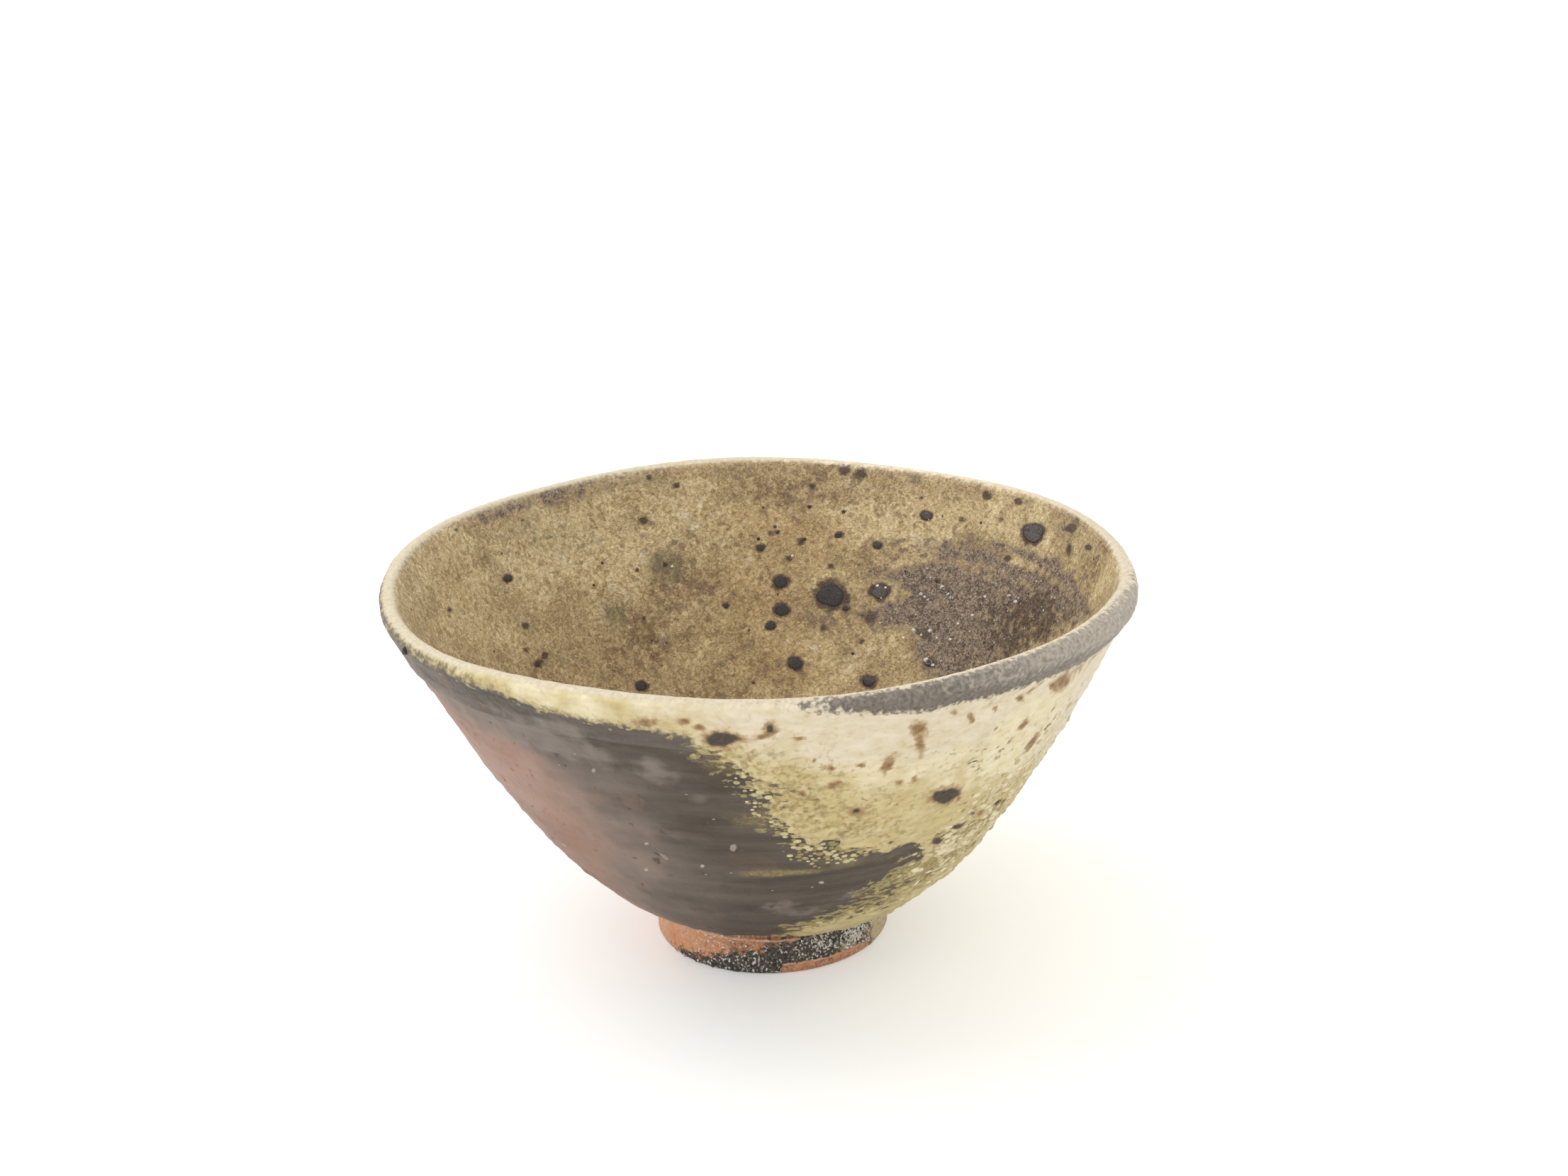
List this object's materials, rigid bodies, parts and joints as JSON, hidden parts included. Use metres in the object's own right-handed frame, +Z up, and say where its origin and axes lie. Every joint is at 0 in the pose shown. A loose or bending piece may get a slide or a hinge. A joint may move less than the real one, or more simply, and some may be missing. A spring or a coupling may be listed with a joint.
{
  "type": "tea bowl",
  "caption": "Wood-fired stoneware tea bowl, a flared round cup on a small turned foot, with an ash liner, a glazed lip and melted ash down one side; for drinking tea.",
  "frame": {"origin": "on the table, under the middle of the foot ring", "axes": "+Z up out of the bowl's mouth, -Y towards the side that the picture shows, +X to its right"},
  "size_m": [0.1243, 0.1243, 0.0678],
  "materials": {
    "fired_clay": "matte, flashed from orange to dark grey-brown",
    "foot_clay": "bare orange clay with a slight sheen",
    "liner_glaze": "sugary matte tan with iron spots",
    "lip_glaze": "matte cream to grey-brown",
    "ash_glaze": "semi-matte pale yellow",
    "foot_crust": "rough glassy black and silver"
  },
  "bodies": {
    "root": {"bowl_wall": "fired_clay", "foot_ring": "foot_clay", "liner_glaze": "liner_glaze", "lip_glaze": "lip_glaze", "ash_glaze": "ash_glaze", "foot_crust": "foot_crust"}
  },
  "joints": []
}
